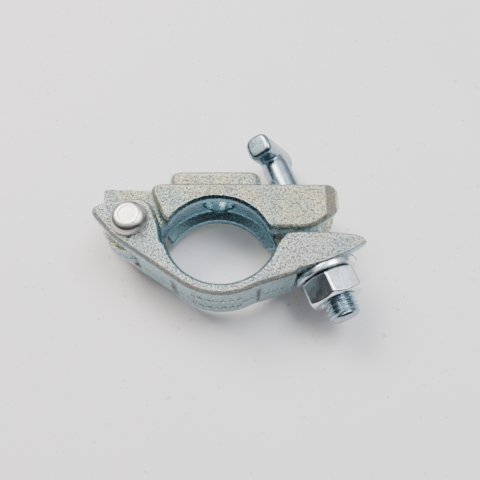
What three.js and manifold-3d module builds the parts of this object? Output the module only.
// Half coupler for 48.3 mm scaffold tube: a drop-forged saddle and flap hinged on a rivet,
// closed by a T-headed bolt, a plain washer and a hexagon nut. Millimetres, +Z up.
// The tube axis runs along Z. While it is drawn, the tube axis is at X = Y = 0 and the
// forgings' parting plane is Z = 0. The finished group is then moved so that its origin is
// the centre of its footprint, on the surface it lies on.

import * as THREE from 'three';
import { mergeVertices } from 'three/addons/utils/BufferGeometryUtils.js';
import Module from 'manifold-3d';

const wasm = await Module();
wasm.setup();

// ---- driving dimensions ----
const TUBE_R = 48.3 / 2;            // the tube that the coupler grips
const HALF_WIDTH = 14;              // half of each forging's width along the tube
const GAP = 0.3;                    // between pieces that touch
const OVERCLOSE = { x: 2, y: 9 };   // centre of the flap's bore with no tube in the coupler

const RIM_WIDTH = 4.5;              // plain rim at each end of a bore
const RIM_CHAMFER = 1.4;
const SADDLE_RELIEF = 4;            // depth of the relieved band between the saddle's rims
const FLAP_RELIEF = 2;
const RELIEF_RAMP = 3;

const SADDLE_DRAFT = { size: 2.6, depth: 4.5 };
const FLAP_DRAFT = { size: 2.2, depth: 3.6 };
const END_BEVEL = { from: 47.5, to: 56, depth: 7.5 };
const STRAP_R = 29.4;               // the strap's back, about the flap's own bore
const STRAP_SPAN = { from: 233, to: 300, steps: 9 };

const RIVET = { x: -37.3, y: 13.4 };
const RIVET_R = 4.8;
const RIVET_HEAD_R = 8.2;
const RIVET_FLAT_R = 4.3;
const RIVET_HEAD_H = 5.2;
const RIVET_DOME_R = 9;
const RIVET_DOME_H = 5.0;

const TONGUE_HALF = 6.8;            // the saddle's tongue, between the flap's ears
const FORK_HALF = 7.5;              // the gap between the flap's ears
const FORK_ROOT_R = 15;
const TONGUE_EYE_R = 12.3;

const BACK_Y = 32;                  // the saddle's back
const BOSS = { x: -1.3, y: 40, length: 42.5, width: 23, corner: 7, shoulder: 3.5, sunk: 12 };
const BOSS_HOLE_R = 7;
const BOSS_HOLE_X = 0.3;

const SLOT_HALF = 7.6;              // the open slots that the T-bolt swings through
const SADDLE_SLOT_X = 25.2;
const FLAP_SLOT_X = 34;
const MATE_Y = 9;                   // where the saddle and the flap meet

const BOLT_TILT = 20.7;             // degrees the loose bolt leans from straight across
const BOLT_ROLL = 31;               // degrees its head is turned from the tube axis
const BOLT_HEAD = { x: 24.8, y: 54.5 };
const BOLT_LENGTH = 86.3;           // head centre to the end of the thread
const SWING_ABOVE = 28;             // from the head's centre to the axis that the bolt swings about
const SHANK_R = 6.6;
const THREAD_R = 7.2;
const THREAD_LENGTH = 34;
const HEAD_LENGTH = 28.5;
const HEAD_HALF = 6;
const HEAD_UNDER = 5.3;
const HEAD_CROWN = { size: 2, depth: 2.6 };   // rounding at each end of the head

const WASHER_R = 14;
const WASHER_T = 2.5;
const WASHER_AT = 63.8;             // from the head's centre to the washer's upper face
const NUT_AF = 22.8;
const NUT_H = 11;
const NUT_TURN = 17;                // degrees the nut's upper corner is turned from +Z
const HOLE_R = 7.6;                 // washer and nut bores

const ZINC = new THREE.MeshStandardMaterial({ color: 0xb9c4c6, roughness: 0.38, metalness: 1 });
const FORGED = new THREE.MeshStandardMaterial({ color: 0xaab5b1, roughness: 0.5, metalness: 1 });
const RIVET_STEEL = new THREE.MeshStandardMaterial({ color: 0xa9a7a2, roughness: 0.32, metalness: 1 });

// ---- geometry helpers ----

// A closed outline from corners [x, y, trim]; each corner is rounded over its trim length.
function outline(corners, steps = 5) {
  const points = [];
  const count = corners.length;
  const along = (from, to, trim) => {
    const a = new THREE.Vector2(from[0], from[1]);
    const b = new THREE.Vector2(to[0], to[1]).sub(a);
    return b.setLength(Math.min(trim, 0.45 * b.length())).add(a);
  };
  corners.forEach((corner, i) => {
    const before = corners[(i + count - 1) % count];
    const after = corners[(i + 1) % count];
    const start = along(corner, before, corner[2]);
    const end = along(corner, after, corner[2]);
    const peak = new THREE.Vector2(corner[0], corner[1]);
    points.push(...new THREE.QuadraticBezierCurve(start, peak, end).getPoints(steps));
  });
  return new THREE.Shape(points);
}

function asSolid(geometry) {
  const plain = geometry.index ? geometry.toNonIndexed() : geometry.clone();
  plain.deleteAttribute('normal');
  plain.deleteAttribute('uv');
  const merged = mergeVertices(plain, 1e-4);
  const index = merged.index.array;
  const corners = [];
  for (let i = 0; i < index.length; i += 3) {
    const [a, b, c] = [index[i], index[i + 1], index[i + 2]];
    if (a !== b && b !== c && c !== a) {
      corners.push(a, b, c);
    }
  }
  return new wasm.Manifold(new wasm.Mesh({
    numProp: 3,
    vertProperties: new Float32Array(merged.attributes.position.array),
    triVerts: new Uint32Array(corners),
  }));
}

function asGeometry(solid) {
  const mesh = solid.getMesh();
  const geometry = new THREE.BufferGeometry();
  geometry.setAttribute('position', new THREE.BufferAttribute(new Float32Array(mesh.vertProperties), 3));
  geometry.setIndex(new THREE.BufferAttribute(new Uint32Array(mesh.triVerts), 1));
  geometry.computeVertexNormals();
  return geometry;
}

// A forging between two dies: full outline at the parting plane, drawn in by the draft's
// size at each face, with the draft spread over its depth as an elliptical flank.
function forging(shape, draft) {
  const geometry = new THREE.ExtrudeGeometry(shape, {
    depth: 2 * (HALF_WIDTH - draft.depth),
    bevelEnabled: true,
    bevelThickness: draft.depth,
    bevelSize: draft.size,
    bevelOffset: -draft.size,
    bevelSegments: 5,
  });
  geometry.translate(0, 0, draft.depth - HALF_WIDTH);
  return asSolid(geometry);
}

// A straight prism of a shape, centred on the parting plane.
function slab(shape, half) {
  const geometry = new THREE.ExtrudeGeometry(shape, { depth: 2 * half, bevelEnabled: false });
  geometry.translate(0, 0, -half);
  return asSolid(geometry);
}

function rod(x, y, radius, half, sides = 72) {
  const geometry = new THREE.CylinderGeometry(radius, radius, 2 * half, sides);
  geometry.rotateX(Math.PI / 2);
  geometry.translate(x, y, 0);
  return asSolid(geometry);
}

// The tube seat: two chamfered rims and a relieved band between them.
function bore(x, y, relief) {
  const end = HALF_WIDTH + 1;
  const flare = TUBE_R + RIM_CHAMFER + 1;
  const profile = [
    [0, -end],
    [flare, -end],
    [TUBE_R, -HALF_WIDTH + RIM_CHAMFER],
    [TUBE_R, -HALF_WIDTH + RIM_WIDTH],
    [TUBE_R + relief, -HALF_WIDTH + RIM_WIDTH + RELIEF_RAMP],
    [TUBE_R + relief, HALF_WIDTH - RIM_WIDTH - RELIEF_RAMP],
    [TUBE_R, HALF_WIDTH - RIM_WIDTH],
    [TUBE_R, HALF_WIDTH - RIM_CHAMFER],
    [flare, end],
    [0, end],
  ];
  const geometry = new THREE.LatheGeometry(profile.map(([r, z]) => new THREE.Vector2(r, z)), 96);
  geometry.rotateX(Math.PI / 2);
  geometry.translate(x, y, 0);
  return asSolid(geometry);
}

// A closed slot that runs out of the piece at its right-hand end.
function openSlot(left) {
  const length = 60;
  const shape = outline([
    [-SLOT_HALF, left, SLOT_HALF * 0.55],
    [SLOT_HALF, left, SLOT_HALF * 0.55],
    [SLOT_HALF, left + length, 1],
    [-SLOT_HALF, left + length, 1],
  ]);
  const geometry = new THREE.ExtrudeGeometry(shape, { depth: 90, bevelEnabled: false });
  // shape X lies along the tube, shape Y along the slot, depth across the forging
  const basis = new THREE.Matrix4().makeBasis(
    new THREE.Vector3(0, 0, 1),
    new THREE.Vector3(1, 0, 0),
    new THREE.Vector3(0, 1, 0),
  );
  geometry.applyMatrix4(basis);
  geometry.translate(0, -40, 0);
  return asSolid(geometry);
}

// Wide bevels at the saddle's free end, one from each die.
function endBevel() {
  const profile = new THREE.Shape([
    new THREE.Vector2(END_BEVEL.from, HALF_WIDTH + 0.01),
    new THREE.Vector2(END_BEVEL.to, HALF_WIDTH - END_BEVEL.depth),
    new THREE.Vector2(END_BEVEL.to + 8, HALF_WIDTH - END_BEVEL.depth),
    new THREE.Vector2(END_BEVEL.to + 8, HALF_WIDTH + 2),
    new THREE.Vector2(END_BEVEL.from, HALF_WIDTH + 2),
  ]);
  const geometry = new THREE.ExtrudeGeometry(profile, { depth: 60, bevelEnabled: false });
  // shape Y becomes the tube's direction, depth runs across the forging
  geometry.rotateX(Math.PI / 2);
  geometry.translate(0, 50, 0);
  const near = asSolid(geometry);
  return near.add(near.mirror([0, 0, 1]));
}

// ---- the pieces ----

function saddle() {
  const body = forging(outline([
    [-32, BACK_Y + 0.4, 8],
    [-22.3, MATE_Y + 1.5, 7],
    [25, MATE_Y + 0.2, 5],
    [41, MATE_Y + 0.2, 5],
    [54, MATE_Y + 9.5, 7.5],
    [56.6, BACK_Y, 7],
  ]), SADDLE_DRAFT);
  const tongue = slab(outline([
    [-52, BACK_Y + 0.4, 2],
    [-51.6, BACK_Y - 6, 2.5],
    [RIVET.x - TONGUE_EYE_R, RIVET.y + 2, 5],
    [RIVET.x - TONGUE_EYE_R, RIVET.y, 0.5],
    [RIVET.x + 3, RIVET.y - TONGUE_EYE_R + 0.6, 3],
    [-22.5, MATE_Y + 7, 2],
    [-21, BACK_Y - 0.6, 2],
  ]), TONGUE_HALF).add(rod(RIVET.x, RIVET.y, TONGUE_EYE_R, TONGUE_HALF, 56));
  const padShape = outline([
    [-BOSS.length / 2, -BOSS.width / 2, BOSS.corner],
    [BOSS.length / 2, -BOSS.width / 2, BOSS.corner],
    [BOSS.length / 2, BOSS.width / 2, BOSS.corner],
    [-BOSS.length / 2, BOSS.width / 2, BOSS.corner],
  ]);
  const pad = new THREE.ExtrudeGeometry(padShape, {
    depth: BOSS.sunk - BOSS.shoulder,
    bevelEnabled: true,
    bevelThickness: BOSS.shoulder,
    bevelSize: BOSS.shoulder,
    bevelOffset: -BOSS.shoulder,
    bevelSegments: 4,
  });
  pad.rotateX(-Math.PI / 2);
  pad.translate(BOSS.x, BOSS.y - BOSS.sunk, 0);
  const hole = new THREE.CylinderGeometry(BOSS_HOLE_R, BOSS_HOLE_R, 60, 48);
  hole.translate(BOSS_HOLE_X, BACK_Y, 0);
  return body
    .add(asSolid(pad))
    .add(tongue)
    .subtract(endBevel())
    .subtract(bore(0, 0, SADDLE_RELIEF))
    .subtract(asSolid(hole))
    .subtract(rod(RIVET.x, RIVET.y, RIVET_R + GAP, HALF_WIDTH, 40))
    .subtract(openSlot(SADDLE_SLOT_X));
}

function flap() {
  const strap = [];
  for (let i = 0; i <= STRAP_SPAN.steps; i += 1) {
    const degrees = STRAP_SPAN.from + (STRAP_SPAN.to - STRAP_SPAN.from) * i / STRAP_SPAN.steps;
    const angle = THREE.MathUtils.degToRad(degrees);
    strap.push([OVERCLOSE.x + STRAP_R * Math.cos(angle), OVERCLOSE.y + STRAP_R * Math.sin(angle), 1]);
  }
  const body = forging(outline([
    [-57, 19.3, 5.5],
    [-43.8, 4.9, 3],
    ...strap,
    [41, -8.6, 5],
    [60, -2.8, 3],
    [65.6, 1.3, 3.5],
    [62.6, 6.9, 4],
    [49, MATE_Y - 0.2, 5],
    [30, MATE_Y - 0.2, 4],
    [25, MATE_Y - 6, 2],
    [-23, MATE_Y - 6, 2],
    [-24.3, 11, 4],
    [-29.6, 24.8, 6.5],
    [-46, 24, 6],
  ]), FLAP_DRAFT);
  const forkRoof = slab(outline([
    [RIVET.x - 30, RIVET.y - 4, 2],
    [RIVET.x + 4, RIVET.y - 4, 2],
    [RIVET.x + 22, RIVET.y + 2, 1],
    [RIVET.x + 22, RIVET.y + 40, 2],
    [RIVET.x - 30, RIVET.y + 40, 2],
  ]), FORK_HALF);
  // The washer's seat curves about the bolt's swing axis, so the bolt can swing out of its slot.
  const lean = THREE.MathUtils.degToRad(BOLT_TILT);
  const swing = {
    x: BOLT_HEAD.x - SWING_ABOVE * Math.sin(lean),
    y: BOLT_HEAD.y + SWING_ABOVE * Math.cos(lean),
  };
  const seat = slab(outline([[33, -30, 1], [90, -30, 1], [90, 14, 1], [60, 14, 1], [34, -6, 1]]), HALF_WIDTH + 1)
    .subtract(rod(swing.x, swing.y, SWING_ABOVE + WASHER_AT - GAP, HALF_WIDTH + 2, 240));
  // The bore's right-hand end opens out to a lead-in.
  const leadIn = slab(outline([[22, -4.6, 0.2], [30.2, 8, 1], [31.5, 10, 1], [18, 10, 1]]), HALF_WIDTH + 1);
  return body
    .subtract(seat)
    .subtract(bore(OVERCLOSE.x, OVERCLOSE.y, FLAP_RELIEF))
    .subtract(leadIn)
    .subtract(rod(RIVET.x, RIVET.y, FORK_ROOT_R, FORK_HALF, 64))
    .subtract(forkRoof)
    .subtract(rod(RIVET.x, RIVET.y, RIVET_R + GAP, HALF_WIDTH + 1, 40))
    .subtract(openSlot(FLAP_SLOT_X));
}

// Near head with a flat crown and a rolled edge, far head domed.
function hingeRivet() {
  const points = [new THREE.Vector2(0, HALF_WIDTH + GAP + RIVET_HEAD_H)];
  const arc = 7;
  for (let i = 0; i <= arc; i += 1) {
    const angle = Math.PI / 2 * i / arc;
    points.push(new THREE.Vector2(
      RIVET_FLAT_R + (RIVET_HEAD_R - RIVET_FLAT_R) * Math.sin(angle),
      HALF_WIDTH + GAP + 1 + (RIVET_HEAD_H - 1) * Math.cos(angle),
    ));
  }
  points.push(new THREE.Vector2(RIVET_HEAD_R, HALF_WIDTH + GAP));
  points.push(new THREE.Vector2(RIVET_R, HALF_WIDTH + GAP));
  points.push(new THREE.Vector2(RIVET_R, -HALF_WIDTH - GAP));
  for (let i = 0; i <= arc; i += 1) {
    const angle = Math.PI / 2 * i / arc;
    points.push(new THREE.Vector2(
      RIVET_DOME_R * Math.cos(angle),
      -HALF_WIDTH - GAP - RIVET_DOME_H * Math.sin(angle),
    ));
  }
  points[points.length - 1].x = 0;
  const geometry = new THREE.LatheGeometry(points.reverse(), 48);
  geometry.rotateX(Math.PI / 2);
  geometry.translate(RIVET.x, RIVET.y, 0);
  return asSolid(geometry);
}

// The bolt's own frame: +Z from the thread's end to the head, Y along the head, origin at
// the head's centre.
function tBolt() {
  const chamfer = 1.6;
  const end = -BOLT_LENGTH;
  const stem = new THREE.LatheGeometry([
    new THREE.Vector2(0, end),
    new THREE.Vector2(THREAD_R - chamfer, end),
    new THREE.Vector2(THREAD_R, end + chamfer),
    new THREE.Vector2(THREAD_R, end + THREAD_LENGTH),
    new THREE.Vector2(SHANK_R, end + THREAD_LENGTH + 1.5),
    new THREE.Vector2(SHANK_R, -HEAD_UNDER - 2),
    new THREE.Vector2(SHANK_R - 1, 0),
    new THREE.Vector2(0, 0),
  ], 40);
  stem.rotateX(Math.PI / 2);
  const section = outline([
    [-HEAD_HALF, -HEAD_UNDER, 4.2],
    [HEAD_HALF, -HEAD_UNDER, 4.2],
    [HEAD_HALF, HEAD_HALF + 0.4, 5.5],
    [-HEAD_HALF, HEAD_HALF + 0.4, 5.5],
  ]);
  const head = new THREE.ExtrudeGeometry(section, {
    depth: HEAD_LENGTH - 2 * HEAD_CROWN.depth,
    bevelEnabled: true,
    bevelThickness: HEAD_CROWN.depth,
    bevelSize: HEAD_CROWN.size,
    bevelOffset: -HEAD_CROWN.size,
    bevelSegments: 4,
  });
  head.translate(0, 0, HEAD_CROWN.depth - HEAD_LENGTH / 2);
  head.rotateX(Math.PI / 2);
  return asSolid(stem).add(asSolid(head));
}

function washer() {
  const geometry = new THREE.LatheGeometry([
    new THREE.Vector2(HOLE_R, -WASHER_T),
    new THREE.Vector2(WASHER_R - 0.3, -WASHER_T),
    new THREE.Vector2(WASHER_R, -WASHER_T + 0.3),
    new THREE.Vector2(WASHER_R, -0.3),
    new THREE.Vector2(WASHER_R - 0.3, 0),
    new THREE.Vector2(HOLE_R, 0),
    new THREE.Vector2(HOLE_R, -WASHER_T),
  ], 48);
  geometry.rotateX(Math.PI / 2);
  return asSolid(geometry);
}

function hexNut() {
  const cornerR = NUT_AF / Math.sqrt(3);
  const hexagon = new THREE.Shape();
  for (let i = 0; i < 6; i += 1) {
    const angle = Math.PI / 3 * i + Math.PI / 2;
    const x = cornerR * Math.cos(angle);
    const y = cornerR * Math.sin(angle);
    if (i === 0) {
      hexagon.moveTo(x, y);
    } else {
      hexagon.lineTo(x, y);
    }
  }
  hexagon.closePath();
  const prism = new THREE.ExtrudeGeometry(hexagon, { depth: NUT_H, bevelEnabled: false });
  prism.translate(0, 0, -NUT_H);
  const faceR = NUT_AF / 2 * 0.96;
  const drop = (cornerR + 0.4 - faceR) * Math.tan(THREE.MathUtils.degToRad(30));
  const turned = new THREE.LatheGeometry([
    new THREE.Vector2(0, -NUT_H),
    new THREE.Vector2(faceR, -NUT_H),
    new THREE.Vector2(cornerR + 0.4, -NUT_H + drop),
    new THREE.Vector2(cornerR + 0.4, -drop),
    new THREE.Vector2(faceR, 0),
    new THREE.Vector2(0, 0),
  ], 48);
  turned.rotateX(Math.PI / 2);
  const hole = new THREE.CylinderGeometry(HOLE_R, HOLE_R, 3 * NUT_H, 40);
  hole.rotateX(Math.PI / 2);
  return asSolid(prism).intersect(asSolid(turned)).subtract(asSolid(hole));
}

// ---- the assembly ----

function piece(name, solid, material) {
  const mesh = new THREE.Mesh(asGeometry(solid), material);
  mesh.name = name;
  return mesh;
}

const coupler = new THREE.Group();
coupler.add(piece('saddle', saddle(), FORGED));
coupler.add(piece('flap', flap(), FORGED));
coupler.add(piece('hinge_rivet', hingeRivet(), RIVET_STEEL));

// The bolt, washer and nut share the leaning bolt's axis.
const boltGroup = new THREE.Group();
const tilt = THREE.MathUtils.degToRad(BOLT_TILT);
const towardHead = new THREE.Vector3(-Math.sin(tilt), Math.cos(tilt), 0);
const across = new THREE.Vector3(0, 0, 1);
const side = new THREE.Vector3().crossVectors(across, towardHead);
boltGroup.quaternion.setFromRotationMatrix(new THREE.Matrix4().makeBasis(side, across, towardHead));
boltGroup.position.set(BOLT_HEAD.x, BOLT_HEAD.y, 0);

const bolt = piece('t_bolt', tBolt(), ZINC);
bolt.rotation.z = THREE.MathUtils.degToRad(-BOLT_ROLL);
boltGroup.add(bolt);

const plainWasher = piece('washer', washer(), ZINC);
plainWasher.position.z = -WASHER_AT;
boltGroup.add(plainWasher);

const nut = piece('hex_nut', hexNut(), ZINC);
nut.position.z = -WASHER_AT - WASHER_T - GAP;
nut.rotation.z = THREE.MathUtils.degToRad(-NUT_TURN);
boltGroup.add(nut);
coupler.add(boltGroup);

// Origin to the centre of the footprint, on the surface the coupler lies on.
coupler.updateMatrixWorld(true);
const extent = new THREE.Box3().setFromObject(coupler, true);
const middle = extent.getCenter(new THREE.Vector3());
coupler.position.set(-middle.x, -middle.y, -extent.min.z);

export default coupler;
